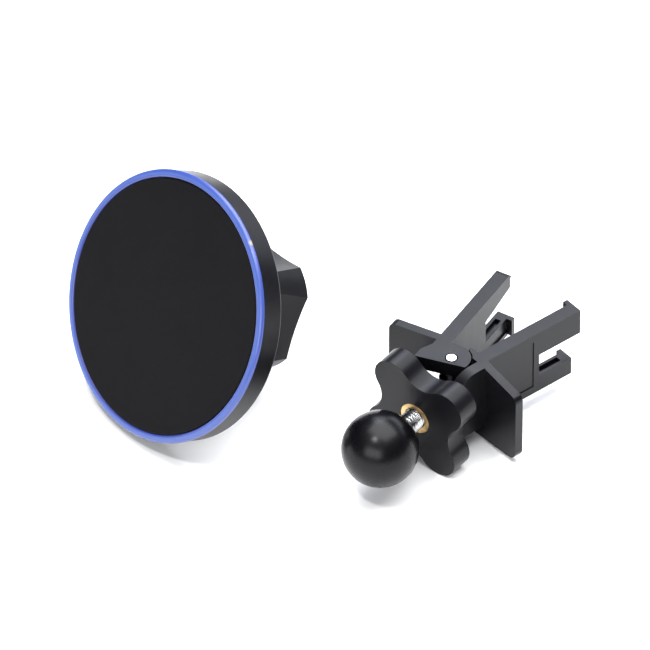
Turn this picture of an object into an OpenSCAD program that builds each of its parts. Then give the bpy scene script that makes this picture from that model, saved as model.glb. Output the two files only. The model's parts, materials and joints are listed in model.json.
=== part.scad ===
// Magnetic car phone mount in two pieces that part at a ball joint.
// The charging head lies beside the vent clip, as on a table.
// Origin: centre of the clip's ball. +Y runs along the ball stud towards the jaws, +Z is up.
// The head is drawn in its own frame: +Z from the face to the back, +Y to the top of the face.

/* [Ball and stud] */
// Diameter of the ball
ball_d = 17; // [12:0.5:25]
// Bare stud between the ball and the knob
neck_l = 3.8; // [2:0.1:8]
// Diameter of the stud's thread
stud_d = 5; // [4:0.1:6]
// How far the stud goes into the ball, past its centre
stud_sink = 3; // [1:0.5:5]
// Diameter of the hinge pin
pin_d = 2.2; // [1.6:0.1:3]

/* [Clamp knob] */
// Radius of the knob at its lobes' tips
knob_tip_r = 14.8; // [12:0.1:18]
// Radius of one lobe's rounded end
knob_lobe_r = 4.8; // [3.5:0.1:6]
// Radius of the knob at its valleys
knob_valley_r = 9.2; // [6.5:0.1:10]
// Thickness of the knob
knob_t = 5.4; // [4:0.1:8]
// Angle of the first lobe above +X
knob_phase = 38; // [0:1:89]
// Diameter of the threaded brass insert
insert_d = 7.6; // [6.8:0.1:9]
// Thickness of the pressure washer
washer_t = 1.2; // [1:0.1:3]
// Radius of the pressure washer
washer_r = 7.4; // [6.8:0.1:9]

/* [Jaws] */
// Height of a jaw
jaw_h = 17; // [14:0.5:24]
// Distance from the hinge plane to an arm's inner face
arm_in = 2.5; // [2:0.1:4]
// Thickness of an arm
arm_t = 3.3; // [2.4:0.1:5]
// Length of the right jaw's upper prong, from the pin
right_upper_l = 31.6; // [26:0.1:45]
// Length of the right jaw's lower prong
right_lower_l = 29.2; // [26:0.1:45]
// Length of the left jaw's upper prong
left_upper_l = 30.6; // [26:0.1:45]
// Length of the left jaw's lower prong
left_lower_l = 30.3; // [26:0.1:45]
// Where the slot between two prongs begins, from the pin
slot_start = 20; // [16:0.1:22]
// Top of the slot
slot_top = 2; // [1:0.1:4]
// Bottom of the slot
slot_floor = -4; // [-5:0.1:-2]
// Thickness of the hooks at the prongs' ends
hook_t = 1.2; // [0.8:0.1:2]
// Opening angle of the right jaw
right_open = 13.4; // [8:0.1:15]
// Opening angle of the left jaw
left_open = 7.2; // [3:0.1:12]
// Distance from the pin to the front of a wing
wing_y = 3.5; // [3:0.1:5]
// Thickness of a wing
wing_t = 2; // [1.2:0.1:2.4]
// Distance from the hinge plane to a wing's outer edge
wing_out = 17.8; // [14:0.1:24]
// Height of the right wing's outer top corner
right_wing_top = 6.7; // [3:0.1:8.2]
// Height of the left wing's outer top corner
left_wing_top = 8; // [3:0.1:8.2]
// How much higher a wing's foot is at its outer end
wing_rise = 1.1; // [0:0.1:3]

/* [Head] */
// Diameter of the face pad
face_d = 56; // [50:0.5:72]
// Thickness of the face pad
pad_t = 0.9; // [0.6:0.1:1.5]
// Width of the light ring
ring_w = 1.8; // [1.2:0.1:3]
// Depth of the light ring
ring_t = 1.8; // [1.6:0.1:2.5]
// Depth of the light ring's outer side that shows
ring_side = 0.9; // [0.8:0.1:1.4]
// Depth of the disc's rim, from the face
rim_back = 6.8; // [6:0.1:9]
// Depth of the disc's back at its middle
back_w = 8.2; // [7.8:0.1:12]
// Wall of the rear housing
wall = 1.3; // [1:0.1:2]
// Number of places on the magnet ring
magnet_places = 12; // [12:4:24]
// Lean of the face back from upright
lean = 27; // [15:0.5:45]
// Turn of the face towards +X
head_yaw = 14; // [-20:1:40]
// Centre of the face along X
head_x = -54.1; // [-80:0.1:-50]
// Centre of the face along Y
head_y = -6.8; // [-30:0.1:30]

/* [Socket and collar] */
// Wall of the ball socket
socket_wall = 2.4; // [2:0.1:3.5]
// Depth of the collar's rear face
collar_back = 30; // [28:0.1:36]
// Radius of the collar at its lobes, at the rear
collar_tip_r = 14.5; // [13.5:0.1:18]
// How much wider the collar is at its front
collar_flare = 0.9; // [0:0.1:2]
// Angle of the collar's first lobe
collar_phase = 40.7; // [0:0.1:89]
// Radius of the scoops between the collar's lobes
scoop_r = 60; // [15:1:90]
// Width of the slots between the socket's fingers
finger_gap = 1.6; // [1:0.1:2.5]

/* [Clearances] */
// Radial clearance of the ball in its socket
ball_gap = 0.1; // [0.05:0.01:0.2]
// Radial clearance of a turning thread or hinge
turn_gap = 0.05; // [0.02:0.01:0.1]
// Space between pieces that turn past each other
pass_gap = 0.3; // [0.2:0.05:0.6]
// Space between pieces that lie against each other
face_gap = 0.1; // [0.05:0.05:0.3]
// Play of the electronics in their seats
seat_gap = 0.05; // [0.02:0.01:0.2]

/* [Hidden] */
$fn = 96;
eps = 0.01;
far = 60;

// Clip: places along the stud
ball_r = ball_d / 2;
stud_r = stud_d / 2;
pin_r = pin_d / 2;
insert_r = insert_d / 2;
knob_y = ball_r + neck_l;
knob_back = knob_y + knob_t;
washer_y = knob_back + face_gap;
washer_back = washer_y + washer_t;

// Jaws: a nose on each jaw bears on the washer
half_h = jaw_h / 2;
arm_out = arm_in + arm_t;
nose_r = 1.3;
nose_x = arm_out + 0.1;
nose_y = 3.7;
nose_in = stud_r + 2.1;
nose_out = nose_x + nose_r;
nose_reach = nose_x * sin(right_open) + nose_y * cos(right_open) + nose_r;
pin_y = washer_back + face_gap + nose_reach;
knuckle_r = 4.3;
knuckle_t = 3.5;
knuckle_in = half_h - knuckle_t;
recess_r = knuckle_r + pass_gap;
eye_r = pin_r + 1.6;
eye_h = 2.3 * stud_r;
lip = 1;
sink_t = 0.35;
pocket_d = 0.4;
panel_d = 0.2;
panel_end = slot_start - 1.5;
corner_r = 1.8;
foot_r = 2.6;
wing_in = pass_gap;
window_top = -0.3;
window_l = 3;
window_w = 9.8;

// The lowest lobe of the knob and both wings stand on the table
lobe_offset = knob_tip_r - knob_lobe_r;
low_lobe = max([for (i = [0:3]) -sin(knob_phase + 90 * i)]);
table_z = -(lobe_offset * low_lobe + knob_lobe_r);
wing_low = table_z;

// Head: radii
face_r = face_d / 2;
ring_in = face_r + face_gap;
ring_r = ring_in + ring_w;
housing_r = ring_r - 0.4;
cavity_r = housing_r - wall;
ring_seat_r = ring_in + 0.5;
lip_r = ring_seat_r + seat_gap;
frame_r = face_r - 0.9;
frame_wall_out = frame_r - 0.2;
frame_wall_in = frame_wall_out - 0.9;
magnet_out = frame_wall_in - 0.4;
magnet_in = magnet_out - 3.7;
coil_out = magnet_in - 1.5;
coil_in = coil_out / 2;
board_r = magnet_in - 0.5;
boss_r = 1.55;
boss_at = (magnet_in + magnet_out) / 2 + 0.2;
boss_angles = [45, 135, 225, 315];
led_at = (frame_wall_out + cavity_r) / 2;

// Head: depths from the face
frame_w = pad_t + seat_gap;
frame_t = 0.8;
frame_back = frame_w + frame_t;
magnet_w = frame_back + seat_gap;
magnet_t = 1.4;
shield_w = magnet_w + magnet_t + seat_gap;
shield_t = 0.4;
coil_t = 0.8;
ferrite_w = magnet_w + coil_t + seat_gap;
ferrite_t = 0.6;
board_w = shield_w + shield_t + seat_gap;
board_t = 0.9;
board_back = board_w + board_t;
inner_back = back_w - wall;
pad_flat_r = 13.5;
usb_w = 3.9;
usb_size = [9, 3.2];
usb_play = 0.15;
usb_front = cavity_r + 0.6;
usb_back = board_r + seat_gap;
usb_angle = 270;

// Socket and collar
socket_bore = ball_r + ball_gap;
pad_pocket_r = socket_bore + 0.4;
seat_pad_t = 3;
socket_r = socket_bore + socket_wall;
seat_floor = back_w + 3.8;
ball_seat = seat_floor + 0.5 + ball_r;
cone_w = collar_back - 4;
socket_end = collar_back - 1.5;
collar_w = back_w + 2;
collar_bore = socket_r + 2 * turn_gap;
collar_valley = collar_bore + 0.9;
socket_screw_at = 6.6;
screw_angles = [30, 150, 270];

// The rim's rear edge rests on the table
rim_chamfer = 0.4;
face_z = table_z + housing_r * cos(lean) + (rim_back - rim_chamfer) * sin(lean);

function arc(centre, r, from, to, steps = 8) =
    [for (i = [0:steps]) let (a = from + (to - from) * i / steps) centre + r * [cos(a), sin(a)]];

// Depth of the domed back's outer surface at radius r
function dome(r) = back_w - (back_w - rim_back)
    * pow(max(0, r - pad_flat_r) / (housing_r - rim_chamfer - pad_flat_r), 2);

module on_head() {
    translate([head_x, head_y, face_z])
        rotate([90 + lean, 0, 180 - head_yaw])
            children();
}

module on_stud(y) {
    translate([0, y, 0])
        rotate([-90, 0, 0])
            children();
}

// Turns a pair of outline axes, length and height, into a side profile and extrudes it along X
module side_plate(from, to) {
    translate([from, 0, 0])
        rotate([90, 0, 90])
            linear_extrude(to - from)
                children();
}

module ring_profile(r_in, r_out, w, t) {
    rotate_extrude()
        translate([r_in, w])
            square([r_out - r_in, t]);
}

module around(angles, radius) {
    for (a = angles)
        rotate([0, 0, a])
            translate([radius, 0, 0])
                children();
}

// ---- Clip ----

module ball() {
    color("#1b1b1e")
        difference() {
            sphere(r = ball_r);
            on_stud(-stud_sink)
                cylinder(h = ball_r + far, r = stud_r);
        }
}

module ball_stud() {
    color("#b9bcc0")
        difference() {
            union() {
                on_stud(-stud_sink)
                    cylinder(h = pin_y + stud_sink, r = stud_r);
                translate([0, pin_y, -eye_h / 2])
                    cylinder(h = eye_h, r = eye_r);
            }
            translate([0, pin_y, -half_h])
                cylinder(h = jaw_h, r = pin_r);
        }
}

module hinge_pin() {
    color("#d4d6d8")
        translate([0, pin_y, -half_h])
            cylinder(h = jaw_h, r = pin_r);
}

// Four rounded lobes joined by tangent scoops
module lobed_outline(tip, lobe, valley) {
    offset_r = tip - lobe;
    scoop_at = (offset_r * offset_r - pow(lobe - valley, 2)) / (2 * (offset_r * cos(45) + lobe - valley));
    scoop = scoop_at - valley;
    centre = scoop_at * [cos(45), sin(45)];
    meet = [offset_r, 0] + (centre - [offset_r, 0]) * lobe / (lobe + scoop);
    difference() {
        union() {
            for (i = [0:3])
                rotate(90 * i)
                    translate([offset_r, 0])
                        circle(r = lobe);
            polygon([for (i = [0:3], s = [-1, 1])
                let (a = 90 * i) [meet.x * cos(a) - s * meet.y * sin(a), meet.x * sin(a) + s * meet.y * cos(a)]]);
        }
        for (i = [0:3])
            rotate(90 * i)
                translate(centre)
                    circle(r = scoop);
    }
}

module clamp_knob() {
    color("#1e1e22")
        on_stud(knob_y)
            difference() {
                rotate([0, 0, -knob_phase])
                    linear_extrude(knob_t)
                        lobed_outline(knob_tip_r, knob_lobe_r, knob_valley_r);
                translate([0, 0, -eps])
                    cylinder(h = knob_t + 2 * eps, r = insert_r);
            }
}

module knob_insert() {
    color("#c9a45c")
        on_stud(knob_y)
            difference() {
                cylinder(h = knob_t, r = insert_r);
                translate([0, 0, -eps])
                    cylinder(h = knob_t + 2 * eps, r = stud_r + turn_gap);
            }
}

module pressure_washer() {
    color("#8f9296")
        on_stud(washer_y)
            difference() {
                cylinder(h = washer_t, r = washer_r);
                translate([0, 0, -eps])
                    cylinder(h = washer_t + 2 * eps, r = stud_r + turn_gap);
            }
}

// Plan of a knuckle: a round end about the pin, a tail to the arm and a slanted front
module knuckle_outline(front_y, front_slope, reach) {
    intersection() {
        union() {
            circle(r = knuckle_r);
            polygon([[0, -6], [reach, -6], [reach, -1], [arm_out, 2], [arm_out, knuckle_r], [0, knuckle_r]]);
        }
        polygon([[-10, front_y - 10 * front_slope], [10, front_y + 10 * front_slope], [10, 10], [-10, 10]]);
    }
}

// The nose stands in front of the hinge, slopes down and bears on the washer with its round tip.
// A full nose runs on down to the jaw's own knuckle.
module nose(full) {
    front = nose_y + nose_r;
    slope_r = front + 1.5;
    intersection() {
        side_plate(nose_in, nose_out)
            polygon(concat(
                [[wing_y + eps, half_h]],
                arc([slope_r - front, half_h - slope_r], slope_r, 90, 180, 10),
                full ? [[-front, -half_h], [wing_y + eps, -half_h]] :
                    [[-front, -0.5], [1 - nose_y, -0.5], [1.5 - nose_y, knuckle_in + 0.5],
                        [wing_y + eps, knuckle_in + 0.5]]
            ));
        linear_extrude(far, center = true)
            union() {
                translate([nose_x, -nose_y])
                    circle(r = nose_r);
                translate([nose_in - eps, -nose_y])
                    square([nose_out - nose_in + 2 * eps, far]);
            }
    }
}

// A notched wing begins at its arm and is open below the hinge; the other reaches in to the hinge plane
module wing(notched, top_out) {
    slope = (half_h - top_out) / (wing_out - arm_out);
    slant = atan(slope);
    outer = wing_out - corner_r;
    inner = notched ? arm_in + pocket_d : wing_in;
    translate([0, wing_y + wing_t, 0])
        rotate([90, 0, 0])
            linear_extrude(wing_t)
                difference() {
                    polygon(concat(
                        [[inner, wing_low], [inner, half_h], [arm_out, half_h]],
                        arc([outer, top_out - corner_r + corner_r * slope / 2], corner_r, 90 - slant, 0),
                        arc([wing_out - foot_r, wing_low + wing_rise + foot_r], foot_r, 0, -90)
                    ));
                    if (notched)
                        translate([arm_in, wing_low - eps])
                            square([window_w, window_top - wing_low]);
                }
}

// Side profile of both prongs and the plate that joins them
module prong_profile(upper_l, lower_l, slot_rise, tip_r) {
    polygon(concat(
        [[wing_y, -half_h], [wing_y, half_h]],
        arc([upper_l - tip_r, half_h - tip_r], tip_r, 90, 0),
        [[upper_l, slot_top + slot_rise], [slot_start, slot_top], [slot_start, slot_floor],
            [lower_l, slot_floor], [lower_l, -half_h]]
    ));
}

module hook(length, z_low, z_high, reach) {
    translate([reach, length - hook_t, z_low])
        cube([arm_out - reach, hook_t, z_high - z_low]);
}

module arm(upper_l, lower_l, slot_rise, tip_r) {
    difference() {
        side_plate(arm_in, arm_out)
            prong_profile(upper_l, lower_l, slot_rise, tip_r);
        translate([arm_in - eps, wing_y + wing_t + 1, -half_h + lip])
            cube([pocket_d + eps, far, jaw_h - 2 * lip]);
        translate([arm_out - panel_d, wing_y + wing_t, -half_h + 2 * lip])
            cube([far, panel_end - wing_y - wing_t, jaw_h - 4 * lip]);
        translate([arm_in + pocket_d + 0.7, slot_start + 1, slot_floor - lip])
            cube([1.4, lower_l - slot_start - 1 - 2 * hook_t, lip + eps]);
    }
}

// Everything of a jaw, drawn as the right one with its knuckle low and its nose high.
// The jaw whose hinge is up has a window through the root of its arm.
module jaw(hinge_up, wing_top, front_y, front_slope, reach, upper_l, lower_l,
    slot_rise, tip_r, upper_hook, lower_hook) {
    flip = hinge_up ? 1 : 0;
    difference() {
        union() {
            arm(upper_l, lower_l, slot_rise, tip_r);
            wing(hinge_up, wing_top);
            mirror([0, 0, flip]) {
                translate([0, 0, -half_h])
                    linear_extrude(knuckle_t)
                        knuckle_outline(front_y, front_slope, reach);
                nose(!hinge_up);
            }
            if (upper_hook > 0)
                hook(upper_l, slot_top + slot_rise, half_h, upper_hook);
            if (lower_hook > 0)
                hook(lower_l, -half_h, slot_floor, lower_hook);
        }
        cylinder(h = far, r = pin_r + turn_gap, center = true);
        mirror([0, 0, flip])
            translate([0, 0, -half_h - eps])
                cylinder(h = sink_t + eps, r1 = pin_r + sink_t, r2 = pin_r + turn_gap);
        mirror([0, 0, flip])
            translate([0, 0, -knuckle_in])
                cylinder(h = far, r = recess_r);
        if (hinge_up)
            translate([arm_in - eps, wing_y - eps, -knuckle_in - 0.5])
                cube([arm_t + 2 * eps, window_l, knuckle_in + 0.5 + window_top]);
    }
}

module right_jaw() {
    color("#232327")
        translate([0, pin_y, 0])
            rotate([0, 0, -right_open])
                jaw(false, right_wing_top, -2.5, 0.32, arm_out, right_upper_l, right_lower_l, 0, 0.6, 1.2, 2);
}

module left_jaw() {
    color("#232327")
        translate([0, pin_y, 0])
            rotate([0, 0, left_open])
                mirror([1, 0, 0])
                    jaw(true, left_wing_top, -2.06, -0.2, 7.25, left_upper_l, left_lower_l, 2.1, 1.6, 0, 1.5);
}

// ---- Head ----

module face_pad() {
    color("#26262a")
        on_head()
            rotate_extrude()
                polygon(concat([[0, pad_t], [0, 0]], arc([face_r - 0.3, 0.3], 0.3, -90, 0, 4), [[face_r, pad_t]]));
}

module light_ring() {
    front_r = 0.8;
    color("#3b55c8")
        on_head()
            rotate_extrude()
                union() {
                    polygon(concat(
                        arc([ring_in + front_r / 2, front_r / 2], front_r / 2, 180, 270, 4),
                        arc([ring_r - front_r, front_r], front_r, -90, 0, 6),
                        [[ring_r, ring_side], [ring_seat_r, ring_side], [ring_seat_r, ring_t], [ring_in, ring_t]]
                    ));
                    translate([frame_r + face_gap, frame_w])
                        square([ring_in - frame_r, frame_t]);
                }
}

module usb_outline(play) {
    size = usb_size + [2 * play, 2 * play];
    union() {
        square([size.x - size.y, size.y], center = true);
        for (s = [-1, 1])
            translate([s * (size.x - size.y) / 2, 0])
                circle(d = size.y);
    }
}

// Runs outwards from the board's edge to the rim
module at_usb(from) {
    rotate([0, 0, usb_angle])
        translate([from, 0, usb_w])
            rotate([90, 0, 90])
                children();
}

module front_frame() {
    color("#3a3a3e")
        on_head()
            difference() {
                union() {
                    translate([0, 0, frame_w])
                        cylinder(h = frame_t, r = frame_r);
                    ring_profile(frame_wall_in, frame_wall_out, frame_back - eps, 1.8);
                }
                around(boss_angles, boss_at) {
                    translate([0, 0, frame_w - eps])
                        cylinder(h = frame_t + 2 * eps, r = 1.5);
                }
                at_usb(magnet_out)
                    linear_extrude(far)
                        square([usb_size.x + 1, 2 * (usb_w - frame_back)], center = true);
            }
}

module magnet_ring() {
    arc_deg = 360 / magnet_places - 10;
    color("#c7c9cc")
        on_head()
            for (i = [0:magnet_places - 1])
                if (abs(360 / magnet_places * i - usb_angle) > 1)
                    rotate([0, 0, 360 / magnet_places * i - arc_deg / 2])
                        translate([0, 0, magnet_w])
                            rotate_extrude(angle = arc_deg)
                                translate([magnet_in, 0])
                                    square([magnet_out - magnet_in, magnet_t]);
}

module magnet_shield() {
    color("#9a9da1")
        on_head()
            difference() {
                ring_profile(magnet_in, magnet_out, shield_w, shield_t);
                around(boss_angles, boss_at) {
                    cylinder(h = far, r = boss_r + face_gap);
                }
                at_usb(0)
                    linear_extrude(far)
                        square([usb_size.x + 1, far], center = true);
            }
}

module charging_coil() {
    turns = 9;
    turn_w = (coil_out - coil_in) / turns;
    color("#b5652e")
        on_head()
            union() {
                ring_profile(coil_in, coil_out, magnet_w + coil_t / 2, coil_t / 2);
                for (i = [0:turns - 1])
                    ring_profile(coil_in + turn_w * i, coil_in + turn_w * (i + 0.8), magnet_w, coil_t / 2 + eps);
            }
}

module ferrite_disc() {
    color("#4a4a4c")
        on_head()
            ring_profile(coil_in / 2, board_r - seat_gap, ferrite_w, ferrite_t);
}

module circuit_board() {
    color("#1f6b3c")
        on_head()
            translate([0, 0, board_w])
                cylinder(h = board_t, r = board_r);
}

module control_chips() {
    color("#18181a")
        on_head() {
            for (chip = [[11, 4, 5, 5], [-11, 5, 4, 4], [12, -6, 4, 3], [-13, -4, 3, 5], [0, 14.5, 6, 3]])
                translate([chip[0] - chip[2] / 2, chip[1] - chip[3] / 2, board_back])
                    cube([chip[2], chip[3], 0.8]);
        }
}

module ring_leds() {
    color("#f4e9a8")
        on_head()
            around([for (i = [0:5]) 60 * i], led_at) {
                translate([-0.35, -0.8, frame_back])
                    cube([0.7, 1.6, 0.6]);
            }
}

module usb_socket() {
    shell = 0.3;
    color("#a9acb0")
        on_head()
            at_usb(usb_back)
                difference() {
                    linear_extrude(usb_front - usb_back)
                        usb_outline(0);
                    translate([0, 0, 1])
                        linear_extrude(far)
                            usb_outline(-shell);
                }
}

module usb_tongue() {
    color("#101012")
        on_head()
            at_usb(usb_back + 1)
                translate([-3.3, -0.35, 0])
                    cube([6.6, 0.7, 4.5]);
}

module rear_housing() {
    steps = 12;
    edge_r = housing_r - rim_chamfer;
    rings = [for (i = [0:steps]) pad_flat_r + (edge_r - pad_flat_r) * i / steps];
    inner = [for (r = rings) if (r < cavity_r) r];
    color("#222226")
        on_head()
            difference() {
                union() {
                    rotate_extrude()
                        polygon(concat(
                            [[0, back_w]],
                            [for (r = rings) [r, dome(r)]],
                            [[housing_r, rim_back - rim_chamfer], [housing_r, ring_side + seat_gap],
                                [lip_r, ring_side + seat_gap], [lip_r, ring_t + seat_gap],
                                [cavity_r, ring_t + seat_gap], [cavity_r, dome(cavity_r) - wall]],
                            [for (i = [len(inner) - 1:-1:0]) [inner[i], dome(inner[i]) - wall]],
                            [[0, inner_back]]
                        ));
                    around(boss_angles, boss_at) {
                        translate([0, 0, frame_back + seat_gap])
                            cylinder(h = dome(boss_at) - wall / 2 - frame_back - seat_gap, r = boss_r);
                    }
                    around([90, 210, 330], board_r - 2) {
                        translate([0, 0, board_back])
                            cylinder(h = dome(board_r) - wall / 2 - board_back, r = 1.2);
                    }
                }
                around(boss_angles, boss_at) {
                    translate([0, 0, 0])
                        cylinder(h = frame_back + 3.2, r = 0.72);
                }
                around(screw_angles, socket_screw_at) {
                    cylinder(h = far, r = 1);
                }
                at_usb(usb_back - usb_play)
                    linear_extrude(far)
                        usb_outline(usb_play);
            }
}

module screw(head_r, head_h, shank_r, shank_l) {
    cylinder(h = head_h, r = head_r);
    cylinder(h = head_h + shank_l, r = shank_r);
}

module housing_screws() {
    color("#8d9094")
        on_head()
            around(boss_angles, boss_at) {
                translate([0, 0, frame_w])
                    difference() {
                        screw(1.45, frame_t, 0.72, 3);
                        rotate([0, 0, 45])
                            cube([0.4, 2, 0.6], center = true);
                    }
            }
}

module socket_screws() {
    color("#8d9094")
        on_head()
            around(screw_angles, socket_screw_at) {
                translate([0, 0, inner_back - 1.1])
                    difference() {
                        screw(1.9, 1.1, 1, wall + 3);
                        cube([0.5, 2.4, 0.9], center = true);
                    }
            }
}

module ball_socket() {
    color("#1d1d20")
        on_head()
            difference() {
                rotate_extrude()
                    polygon([[0, back_w], [pad_flat_r - 0.7, back_w], [pad_flat_r - 0.7, back_w + 1.6],
                        [socket_r, back_w + 1.6], [socket_r, cone_w], [socket_r - 1, socket_end],
                        [socket_bore, socket_end], [socket_bore, seat_floor + seat_pad_t],
                        [pad_pocket_r, seat_floor + seat_pad_t], [pad_pocket_r, seat_floor], [0, seat_floor]]);
                for (a = [0, 90])
                    rotate([0, 0, a])
                        translate([-far / 2, -finger_gap / 2, ball_seat - 5])
                            cube([far, finger_gap, far]);
                around(screw_angles, socket_screw_at) {
                    translate([0, 0, back_w - eps])
                        cylinder(h = 3 + eps, r = 1);
                }
            }
}

module socket_pad() {
    color("#2c2c30")
        on_head()
            difference() {
                translate([0, 0, seat_floor])
                    cylinder(h = seat_pad_t, r = pad_pocket_r - face_gap);
                translate([0, 0, ball_seat])
                    sphere(r = socket_bore);
            }
}

module collar_nut() {
    length = collar_back - collar_w;
    tilt = atan(collar_flare / length);
    color("#202024")
        on_head()
            difference() {
                translate([0, 0, collar_w])
                    cylinder(h = length, r1 = collar_tip_r + collar_flare, r2 = collar_tip_r);
                around([for (i = [0:3]) collar_phase + 45 + 90 * i], collar_valley + scoop_r) {
                    translate([0, 0, collar_back])
                        rotate([0, tilt, 0])
                            cylinder(h = 3 * length, r = scoop_r, center = true, $fn = 480);
                }
                translate([0, 0, collar_w - eps])
                    cylinder(h = cone_w + 2 * turn_gap - collar_w + 2 * eps, r = collar_bore);
                translate([0, 0, cone_w + 2 * turn_gap])
                    cylinder(h = collar_back - cone_w, r1 = collar_bore, r2 = collar_bore - 1.5);
            }
}

ball();
ball_stud();
hinge_pin();
pressure_washer();
clamp_knob();
knob_insert();
left_jaw();
right_jaw();
face_pad();
light_ring();
front_frame();
magnet_ring();
magnet_shield();
charging_coil();
ferrite_disc();
circuit_board();
control_chips();
ring_leds();
usb_socket();
usb_tongue();
rear_housing();
housing_screws();
ball_socket();
socket_screws();
socket_pad();
collar_nut();
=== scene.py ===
"""Looks of the magnetic car phone mount: materials, fine mesh pieces, light and camera."""

import json
import math

import bmesh
import bpy
from mathutils import Matrix, Vector


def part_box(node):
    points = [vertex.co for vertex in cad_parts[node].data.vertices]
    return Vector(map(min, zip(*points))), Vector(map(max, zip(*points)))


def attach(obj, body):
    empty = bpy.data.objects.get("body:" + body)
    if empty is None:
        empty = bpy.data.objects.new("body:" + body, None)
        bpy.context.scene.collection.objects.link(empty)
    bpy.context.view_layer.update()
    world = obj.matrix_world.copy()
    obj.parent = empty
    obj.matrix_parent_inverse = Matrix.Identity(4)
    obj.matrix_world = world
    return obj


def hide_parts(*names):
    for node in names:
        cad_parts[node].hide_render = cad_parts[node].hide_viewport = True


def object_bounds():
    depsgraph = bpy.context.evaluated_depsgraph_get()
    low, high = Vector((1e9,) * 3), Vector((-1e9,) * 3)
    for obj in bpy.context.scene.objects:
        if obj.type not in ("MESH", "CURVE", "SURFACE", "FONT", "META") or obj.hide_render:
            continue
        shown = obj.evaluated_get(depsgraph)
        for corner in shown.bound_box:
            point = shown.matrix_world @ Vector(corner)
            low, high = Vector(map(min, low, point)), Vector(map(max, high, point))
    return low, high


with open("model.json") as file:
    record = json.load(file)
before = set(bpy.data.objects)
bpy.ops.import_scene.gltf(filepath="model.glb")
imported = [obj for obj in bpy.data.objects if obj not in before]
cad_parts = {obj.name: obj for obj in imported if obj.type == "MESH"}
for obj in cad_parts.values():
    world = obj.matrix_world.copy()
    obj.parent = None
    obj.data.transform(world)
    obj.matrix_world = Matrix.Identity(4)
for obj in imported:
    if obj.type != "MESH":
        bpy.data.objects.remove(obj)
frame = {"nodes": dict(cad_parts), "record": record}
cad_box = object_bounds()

MM = 0.001
NODES = frame["nodes"]
MOUNTS = {m["name"]: m for m in frame["record"]["mounts"]}
JOINTS = {j["name"]: j for j in frame["record"]["behaviour"]["joints"]}

# The head's own frame: from the face's centre, w runs to the back
FACE_AT = Vector(MOUNTS["phone_face"]["pos_m"])
HEAD_AXIS = -Vector(MOUNTS["phone_face"]["axis"]).normalized()
HEAD_UP = (Vector((0, 0, 1)) - HEAD_AXIS * HEAD_AXIS.z).normalized()
HEAD_SIDE = HEAD_UP.cross(HEAD_AXIS)
HEAD = Matrix.Translation(FACE_AT) @ Matrix((HEAD_SIDE, HEAD_UP, HEAD_AXIS)).transposed().to_4x4()

# The clip: its ball is at the origin and its stud runs along +Y
PIN_AT = Vector(JOINTS["right_jaw_swing"]["pos_m"])
TABLE_Z = cad_box[0].z


# ---- Node helpers ----

def new_material(name):
    material = bpy.data.materials.new(name)
    material.use_nodes = True
    tree = material.node_tree
    return material, tree, tree.nodes["Principled BSDF"]


def node(tree, kind, **settings):
    made = tree.nodes.new(kind)
    for key, value in settings.items():
        if key in made.inputs:
            made.inputs[key].default_value = value
        else:
            setattr(made, key, value)
    return made


def place(tree, stretch=(1, 1, 1), turn=(0, 0, 0), origin=(0, 0, 0)):
    """Coordinates on the part, moved to origin, turned and stretched."""
    coords = node(tree, "ShaderNodeTexCoord")
    shift = node(tree, "ShaderNodeVectorMath", operation="SUBTRACT")
    shift.inputs[1].default_value = origin
    mapping = node(tree, "ShaderNodeMapping", Rotation=turn, Scale=stretch)
    tree.links.new(coords.outputs["Object"], shift.inputs[0])
    tree.links.new(shift.outputs["Vector"], mapping.inputs["Vector"])
    return mapping.outputs["Vector"]


def noise(tree, vector, scale, detail=4.0, rough=0.55):
    made = node(tree, "ShaderNodeTexNoise", Scale=scale, Detail=detail, Roughness=rough)
    tree.links.new(vector, made.inputs["Vector"])
    return made.outputs["Fac"]


def ramp(tree, value, stops):
    made = node(tree, "ShaderNodeValToRGB")
    elements = made.color_ramp.elements
    while len(elements) < len(stops):
        elements.new(0.5)
    for element, (at, colour) in zip(elements, stops):
        element.position = at
        element.color = tuple(colour) + (1,) if len(colour) == 3 else colour
    tree.links.new(value, made.inputs["Fac"])
    return made.outputs["Color"]


def spread(tree, value, low, high):
    """Turns a 0 to 1 value into a range."""
    made = node(tree, "ShaderNodeMapRange")
    made.inputs["To Min"].default_value = low
    made.inputs["To Max"].default_value = high
    tree.links.new(value, made.inputs["Value"])
    return made.outputs["Result"]


def fade(tree, value, start, end):
    """0 at start, 1 at end."""
    made = node(tree, "ShaderNodeMapRange")
    made.inputs["From Min"].default_value = start
    made.inputs["From Max"].default_value = end
    tree.links.new(value, made.inputs["Value"])
    return made.outputs["Result"]


def mix(tree, factor, below, colour):
    """Lays a plain colour over another by a factor."""
    made = node(tree, "ShaderNodeMix", data_type="RGBA")
    tree.links.new(factor, made.inputs[0])
    tree.links.new(below, made.inputs[6])
    made.inputs[7].default_value = colour + (1,)
    return made.outputs[2]


def from_face(tree):
    """The vector from the face's centre, and how far it reaches along the head's axis."""
    coords = node(tree, "ShaderNodeTexCoord")
    shift = node(tree, "ShaderNodeVectorMath", operation="SUBTRACT")
    shift.inputs[1].default_value = FACE_AT
    along = node(tree, "ShaderNodeVectorMath", operation="DOT_PRODUCT")
    along.inputs[1].default_value = HEAD_AXIS
    tree.links.new(coords.outputs["Object"], shift.inputs[0])
    tree.links.new(shift.outputs["Vector"], along.inputs[0])
    return coords.outputs["Object"], shift.outputs["Vector"], along.outputs["Value"]


def vector_length(tree, vector):
    made = node(tree, "ShaderNodeVectorMath", operation="LENGTH")
    tree.links.new(vector, made.inputs[0])
    return made.outputs["Value"]


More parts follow.
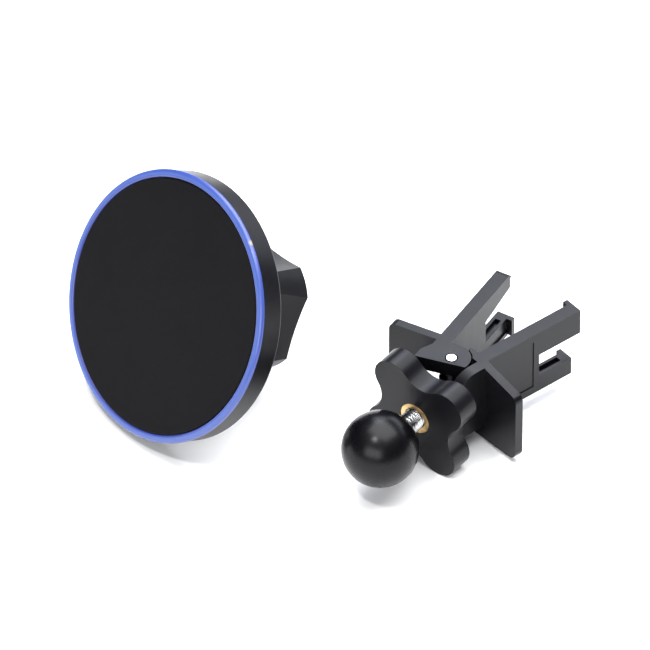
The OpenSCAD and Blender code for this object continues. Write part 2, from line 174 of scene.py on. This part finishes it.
def bump(tree, shader, layers):
    """Stacks height layers, each (value, depth in metres, strength)."""
    last = None
    for value, depth, strength in layers:
        made = node(tree, "ShaderNodeBump", Distance=depth, Strength=strength)
        tree.links.new(value, made.inputs["Height"])
        if last:
            tree.links.new(last, made.inputs["Normal"])
        last = made.outputs["Normal"]
    tree.links.new(last, shader.inputs["Normal"])


# ---- Materials ----

# Turns a piece's lines from round Z to round the stud
SIDE_ON = (math.radians(90), 0, 0)
MOULD_BLACK = ((0.0024, 0.0024, 0.0034), (0.0040, 0.0040, 0.0056))


def moulded(name, dark, light, rough, grain=2600.0, depth=0.03 * MM, specular=0.5, strength=0.35):
    """Moulded plastic or rubber: fine spark-eroded grain, faint flow shading and handling marks."""
    material, tree, shader = new_material(name)
    at = place(tree)
    flow = noise(tree, at, 45.0, 3.0)
    grains = noise(tree, at, grain, 2.0)
    marks = noise(tree, place(tree, (1, 1, 0.25)), 320.0, 6.0, 0.7)
    tree.links.new(ramp(tree, flow, [(0.3, dark), (0.7, light)]), shader.inputs["Base Color"])
    tree.links.new(spread(tree, marks, rough - 0.07, rough + 0.09), shader.inputs["Roughness"])
    shader.inputs["Specular IOR Level"].default_value = specular
    bump(tree, shader, [(grains, depth, strength), (flow, 0.1 * MM, 0.08)])
    return material


def turned_metal(name, dark, light, rough, origin=(0, 0, 0), axis_turn=(0, 0, 0), lines=2400.0):
    """Turned metal: fine lines round an axis through origin, with patches of dulling."""
    material, tree, shader = new_material(name)
    at = place(tree, turn=axis_turn, origin=origin)
    cuts = node(tree, "ShaderNodeTexNoise", Scale=1.0, Detail=2.0)
    stretched = place(tree, (60, 60, lines), axis_turn, origin)
    tree.links.new(stretched, cuts.inputs["Vector"])
    dull = noise(tree, at, 500.0, 5.0, 0.65)
    tree.links.new(ramp(tree, dull, [(0.35, dark), (0.65, light)]), shader.inputs["Base Color"])
    tree.links.new(spread(tree, dull, rough - 0.05, rough + 0.12), shader.inputs["Roughness"])
    shader.inputs["Metallic"].default_value = 1.0
    bump(tree, shader, [(cuts.outputs["Fac"], 0.02 * MM, 0.4)])
    return material


# Painted shade on the stud where it runs back into the clip, along the stud from the ball's centre
SHADE_FROM = 15.0 * MM
SHADE_TO = 19.0 * MM
STUD_SHADE = (0.05, 0.05, 0.055)


def stud_steel():
    """Bright plated steel, with painted shade where it runs back into the clip."""
    material = turned_metal(
        "steel", (0.30, 0.31, 0.33), (0.60, 0.61, 0.63), 0.20, axis_turn=SIDE_ON)
    tree = material.node_tree
    base = tree.nodes["Principled BSDF"].inputs["Base Color"]
    split = node(tree, "ShaderNodeSeparateXYZ")
    tree.links.new(place(tree), split.inputs["Vector"])
    # Painted shade: the stud's colour darkens where it runs back into the clip
    back = fade(tree, split.outputs["Y"], SHADE_FROM, SHADE_TO)
    tree.links.new(mix(tree, back, base.links[0].from_socket, STUD_SHADE), base)
    return material


# The light ring in the head's frame: its radii, and where a painted glint of an LED sits on it
RING_FROM = 28.1 * MM
RING_TO = 29.8 * MM
CLOUD_SHARE = 0.25
GLINT_R = 29.9 * MM
GLINT_TURN = math.radians(121)
GLINT_W = 0.7 * MM
GLINT_CORE = 0.2 * MM
GLINT_SPREAD = 0.8 * MM
GLINT_COLOUR = (0.26, 0.21, 0.13)

# The painted highlight along the rear edge of the head's rim: its depth and its distance from the
# face's centre
EDGE_W = 6.35 * MM
EDGE_W_BLUR = 0.12 * MM
EDGE_AWAY = 29.85 * MM
EDGE_AWAY_BLUR = 0.15 * MM
EDGE_HIGHLIGHT = (0.10, 0.10, 0.11)


def lit_ring():
    """Translucent blue light guide: violet inside, deep blue outside, with a painted highlight band
    between, lit from behind.
    """
    material, tree, shader = new_material("light_blue")
    here, shifted, depth = from_face(tree)
    axial = node(tree, "ShaderNodeVectorMath", operation="SCALE")
    axial.inputs[0].default_value = HEAD_AXIS
    radial = node(tree, "ShaderNodeVectorMath", operation="SUBTRACT")
    tree.links.new(depth, axial.inputs["Scale"])
    tree.links.new(shifted, radial.inputs[0])
    tree.links.new(axial.outputs["Vector"], radial.inputs[1])
    across = fade(tree, vector_length(tree, radial.outputs["Vector"]), RING_FROM, RING_TO)
    cloud = noise(tree, place(tree), 180.0, 3.0)
    mixed = node(tree, "ShaderNodeMath", operation="MULTIPLY_ADD")
    mixed.inputs[1].default_value = CLOUD_SHARE
    tree.links.new(cloud, mixed.inputs[0])
    tree.links.new(across, mixed.inputs[2])
    # Painted highlight: the lighter stop partway across the ring's width
    colour = ramp(tree, mixed.outputs["Value"], [
        (0.05, (0.034, 0.032, 0.17)), (0.30, (0.028, 0.048, 0.22)),
        (0.62, (0.042, 0.088, 0.30)), (0.98, (0.030, 0.054, 0.24))])
    # Painted glint: a small warm spot mixed into the ring's colour and glow
    glint_x = GLINT_R * math.cos(GLINT_TURN)
    glint_y = GLINT_R * math.sin(GLINT_TURN)
    away = node(tree, "ShaderNodeVectorMath", operation="DISTANCE")
    away.inputs[1].default_value = HEAD @ Vector((glint_x, glint_y, GLINT_W))
    tree.links.new(here, away.inputs[0])
    glint = fade(tree, away.outputs["Value"], GLINT_SPREAD, GLINT_CORE)
    colour = mix(tree, glint, colour, GLINT_COLOUR)
    tree.links.new(colour, shader.inputs["Base Color"])
    tree.links.new(colour, shader.inputs["Emission Color"])
    shader.inputs["Emission Strength"].default_value = 0.16
    shader.inputs["Roughness"].default_value = 0.32
    shader.inputs["Coat Weight"].default_value = 0.25
    shader.inputs["Coat Roughness"].default_value = 0.12
    bump(tree, shader, [(cloud, 0.04 * MM, 0.15)])
    return material


def housing_black():
    """The head's moulded black, with a painted highlight along the rear edge of its rim."""
    material = moulded("housing_black", *MOULD_BLACK, 0.31, specular=0.20)
    tree = material.node_tree
    base = tree.nodes["Principled BSDF"].inputs["Base Color"]
    shifted, depth = from_face(tree)[1:]
    both = node(tree, "ShaderNodeMath", operation="MULTIPLY")
    far_back = fade(tree, depth, EDGE_W - EDGE_W_BLUR, EDGE_W)
    far_out = fade(tree, vector_length(tree, shifted), EDGE_AWAY - EDGE_AWAY_BLUR, EDGE_AWAY)
    tree.links.new(far_back, both.inputs[0])
    tree.links.new(far_out, both.inputs[1])
    # Painted highlight: a lighter grey band along the rim's rear edge
    highlighted = mix(tree, both.outputs["Value"], base.links[0].from_socket, EDGE_HIGHLIGHT)
    tree.links.new(highlighted, base)
    return material


def board_green():
    material, tree, shader = new_material("board_green")
    at = place(tree)
    tracks = node(tree, "ShaderNodeTexBrick", Scale=420.0)
    tracks.inputs["Color1"].default_value = (0.02, 0.16, 0.06, 1)
    tracks.inputs["Color2"].default_value = (0.025, 0.20, 0.08, 1)
    tracks.inputs["Mortar"].default_value = (0.05, 0.33, 0.12, 1)
    tree.links.new(at, tracks.inputs["Vector"])
    tree.links.new(tracks.outputs["Color"], shader.inputs["Base Color"])
    tree.links.new(spread(tree, noise(tree, at, 300.0), 0.25, 0.4), shader.inputs["Roughness"])
    return material


MATERIALS = {
    "black_plastic": moulded("black_plastic", *MOULD_BLACK, 0.31, specular=0.20),
    "face_rubber": moulded(
        "face_rubber", (0.0026, 0.0026, 0.0031), (0.0036, 0.0036, 0.0042), 0.50,
        grain=3400.0, depth=0.02 * MM, specular=0.08, strength=0.3),
    "ball_black": moulded(
        "ball_black", (0.0012, 0.0012, 0.0018), (0.0024, 0.0024, 0.0032), 0.27,
        grain=2200.0, specular=0.19),
    "light_blue": lit_ring(),
    "steel": stud_steel(),
    "polished_steel": turned_metal(
        "polished_steel", (0.86, 0.86, 0.87), (0.96, 0.96, 0.96), 0.16, origin=PIN_AT),
    "brass": turned_metal(
        "brass", (0.40, 0.25, 0.09), (0.78, 0.55, 0.26), 0.34, axis_turn=SIDE_ON),
    "magnet": turned_metal(
        "magnet", (0.60, 0.60, 0.62), (0.80, 0.80, 0.82), 0.18, origin=FACE_AT, lines=300.0),
    "copper": turned_metal(
        "copper", (0.45, 0.18, 0.07), (0.75, 0.33, 0.14), 0.3, origin=FACE_AT, lines=300.0),
    "ferrite": moulded("ferrite", (0.05, 0.05, 0.055), (0.08, 0.08, 0.085), 0.7),
    "board_green": board_green(),
    "chip_black": moulded("chip_black", (0.012, 0.012, 0.012), (0.02, 0.02, 0.02), 0.55),
    "led_white": moulded("led_white", (0.75, 0.70, 0.45), (0.90, 0.85, 0.62), 0.25),
    "grey_plastic": moulded("grey_plastic", (0.07, 0.07, 0.075), (0.10, 0.10, 0.11), 0.5),
}
FINISHES = {"rear_housing": housing_black()}
SLOT_OF = {s["node"]: s["material_slot"] for s in frame["record"]["subparts"]}


def dress(obj, name):
    """Gives a CAD node its own finish, or the material of its slot."""
    obj.data.materials.clear()
    obj.data.materials.append(FINISHES.get(name, MATERIALS[SLOT_OF[name]]))


def soften(obj, width, angle=30.0):
    """Rounds a CAD node's sharp edges with modifiers, as a mould does."""
    weld = obj.modifiers.new("weld", "WELD")
    weld.merge_threshold = 0.002 * MM
    rounded = obj.modifiers.new("rounded", "BEVEL")
    rounded.width = width
    rounded.segments = 3
    rounded.limit_method = "ANGLE"
    rounded.angle_limit = math.radians(angle)
    rounded.use_clamp_overlap = True
    rounded.harden_normals = False
    for polygon in obj.data.polygons:
        polygon.use_smooth = True
    shade = obj.modifiers.new("weighted", "WEIGHTED_NORMAL")
    shade.keep_sharp = False


# ---- Fine mesh pieces ----

STUD_R = 2.5 * MM
THREAD_PITCH = 0.8 * MM
THREAD_DEPTH = 0.36 * MM
THREAD_FROM = 7.5 * MM
FLANK_SLOPE = 1.35
RINGS_PER_TURN = 12
STUD_SIDES = 56
EYE_R = 2.7 * MM
EYE_BORE_R = 1.12 * MM
EYE_SIDES = 48


def add_piece(name, bm, body, slot_name, stands_for=None):
    """Turns a built mesh into a smooth piece that rides on a body."""
    mesh = bpy.data.meshes.new(name)
    bmesh.ops.recalc_face_normals(bm, faces=bm.faces)
    bm.to_mesh(mesh)
    bm.free()
    for polygon in mesh.polygons:
        polygon.use_smooth = True
    piece = bpy.data.objects.new(name, mesh)
    bpy.context.collection.objects.link(piece)
    mesh.materials.append(MATERIALS[slot_name])
    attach(piece, body)
    if stands_for:
        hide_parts(stands_for)
    return piece


def loft(bm, rings, closed=False):
    """Joins rings of points, capping the ends unless the loft closes on itself."""
    made = [[bm.verts.new(p) for p in ring] for ring in rings]
    count = len(made[0])
    pairs = list(zip(made, made[1:]))
    if closed:
        pairs.append((made[-1], made[0]))
    for near, beyond in pairs:
        for i in range(count):
            bm.faces.new((near[i], near[(i + 1) % count], beyond[(i + 1) % count], beyond[i]))
    if not closed:
        bm.faces.new(list(reversed(made[0])))
        bm.faces.new(made[-1])


def threaded_stud():
    """The ball's stud with its rolled thread, and the eye that the hinge pin goes through."""
    low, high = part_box("ball_stud")
    end = PIN_AT.y - 0.8 * EYE_R
    steps = round((end - low.y) / (THREAD_PITCH / RINGS_PER_TURN))
    rings = []
    for i in range(steps + 1):
        y = low.y + (end - low.y) * i / steps
        ring = []
        for k in range(STUD_SIDES):
            turn = k / STUD_SIDES
            phase = (y / THREAD_PITCH - turn) % 1.0
            flank = min(1.0, FLANK_SLOPE * (1 - abs(2 * phase - 1)))
            cut = THREAD_DEPTH * flank if y > THREAD_FROM else 0.0
            r = STUD_R - cut
            ring.append((r * math.cos(math.tau * turn), y, r * math.sin(math.tau * turn)))
        rings.append(ring)
    bm = bmesh.new()
    loft(bm, rings)
    profile = [(EYE_R, low.z), (EYE_R, high.z), (EYE_BORE_R, high.z), (EYE_BORE_R, low.z)]
    turns = [math.tau * k / EYE_SIDES for k in range(EYE_SIDES)]
    eye = [[(r * math.cos(t), PIN_AT.y + r * math.sin(t), z) for t in turns] for r, z in profile]
    loft(bm, eye, closed=True)
    stud = add_piece("threaded_stud", bm, "clip_core", "steel", "ball_stud")
    split = stud.modifiers.new("crisp", "EDGE_SPLIT")
    split.split_angle = math.radians(60)


# Edge radii in mm
EDGES = {
    "left_jaw": 0.28, "right_jaw": 0.28, "clamp_knob": 0.8, "collar_nut": 1.2,
    "knob_insert": 0.15, "pressure_washer": 0.15, "rear_housing": 0.25, "ball_socket": 0.15,
}
for name, obj in NODES.items():
    dress(obj, name)
    if name in EDGES:
        soften(obj, EDGES[name] * MM)
threaded_stud()


# ---- Stage ----

def make_floor():
    bpy.ops.mesh.primitive_plane_add(size=3.0, location=(0, 0, TABLE_Z))
    floor = bpy.context.object
    floor.name = "table_top"
    material, tree, shader = new_material("pale_table")
    at = place(tree)
    tone = ramp(tree, noise(tree, at, 12.0), [(0.3, (0.90, 0.90, 0.90)), (0.7, (0.93, 0.93, 0.93))])
    tree.links.new(tone, shader.inputs["Base Color"])
    shader.inputs["Roughness"].default_value = 0.75
    floor.data.materials.append(material)


def softbox(name, place_at, target, size, power, tint=(1, 1, 1)):
    light = bpy.data.lights.new(name, "AREA")
    light.shape = "RECTANGLE"
    light.size, light.size_y = size
    light.energy = power
    light.color = tint
    obj = bpy.data.objects.new(name, light)
    bpy.context.collection.objects.link(obj)
    obj.location = place_at
    aim = Vector(target) - Vector(place_at)
    obj.rotation_euler = aim.to_track_quat("-Z", "Y").to_euler()


def studio_world():
    """A dim room with a bright ceiling, so dark plastic shows soft top reflections."""
    world = bpy.data.worlds.new("studio")
    world.use_nodes = True
    tree = world.node_tree
    coords = node(tree, "ShaderNodeTexCoord")
    split = node(tree, "ShaderNodeSeparateXYZ")
    tree.links.new(coords.outputs["Generated"], split.inputs["Vector"])
    sky = ramp(tree, split.outputs["Z"], [
        (0.0, (0.22, 0.22, 0.24)), (0.35, (0.06, 0.06, 0.07)),
        (0.66, (0.26, 0.27, 0.30)), (0.96, (1.0, 1.0, 1.0))])
    tree.links.new(sky, tree.nodes["Background"].inputs["Color"])
    tree.nodes["Background"].inputs["Strength"].default_value = 1.0
    bpy.context.scene.world = world


def make_lights():
    studio_world()
    middle = (-0.02, 0.01, 0.0)
    softbox("ceiling", (-0.02, 0.20, 0.80), middle, (1.0, 0.8), 17.0, (0.97, 0.98, 1.0))
    softbox("glow", (-0.43, 0.56, 0.62), middle, (0.40, 0.40), 2.5, (0.80, 0.85, 1.0))
    softbox("back_fill", (0.05, 0.95, 0.40), middle, (0.9, 0.3), 3.0, (0.86, 0.90, 1.0))
    softbox("front_fill", (0.25, -0.95, 0.50), middle, (1.0, 0.5), 9.0)
    softbox("lamp", (-0.01, -0.29, 0.69), (0, 0, 0), (0.05, 0.05), 2.2)


def make_camera():
    """The photo's viewing angle; the middle of its frame is up and left of the ball."""
    azimuth = math.radians(37.8)
    elevation = math.radians(42.0)
    distance = 3.0
    frame_width = 0.1407
    left_of_ball = 0.0119
    above_ball = 0.0268
    sensor_mm = 36.0
    level = math.cos(elevation)
    look = Vector((-math.sin(azimuth) * level, math.cos(azimuth) * level, -math.sin(elevation)))
    right = Vector((math.cos(azimuth), math.sin(azimuth), 0))
    up = right.cross(look)
    aim = above_ball * up - left_of_ball * right
    data = bpy.data.cameras.new("camera")
    data.sensor_width = sensor_mm
    data.lens = sensor_mm * distance / frame_width
    camera = bpy.data.objects.new("camera", data)
    bpy.context.collection.objects.link(camera)
    camera.location = aim - look * distance
    camera.rotation_euler = look.to_track_quat("-Z", "Y").to_euler()
    bpy.context.scene.camera = camera


make_floor()
make_lights()
make_camera()
bpy.context.scene.view_settings.view_transform = "Standard"
